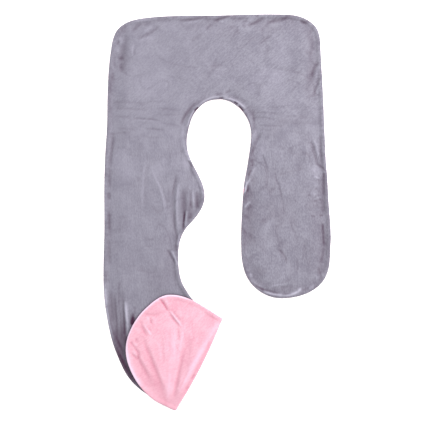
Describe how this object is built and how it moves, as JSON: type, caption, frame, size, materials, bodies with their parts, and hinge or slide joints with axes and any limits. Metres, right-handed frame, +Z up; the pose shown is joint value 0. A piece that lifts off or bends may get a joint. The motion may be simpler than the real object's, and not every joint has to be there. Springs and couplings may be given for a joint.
{
  "type": "body pillow cover",
  "caption": "Empty velour cover for a U-shaped body pillow, lying flat, with the foot of its long leg folded over to show the pink back.",
  "frame": {"origin": "on the floor, under the middle of the laid cover's outline", "axes": "+X to the right, across the legs; +Y from the legs to the head end; +Z up, out of the upper panel"},
  "size_m": [0.701, 1.2198, 0.0264],
  "materials": {
    "grey_velour": "short-pile polyester velour, matt with a soft sheen, grey-lavender with brushed light and dark patches",
    "pink_velour": "short-pile polyester velour, matt with a soft sheen, light pink"
  },
  "bodies": {
    "root": {"front_panel": "grey_velour", "back_panel": "pink_velour"}
  },
  "joints": []
}
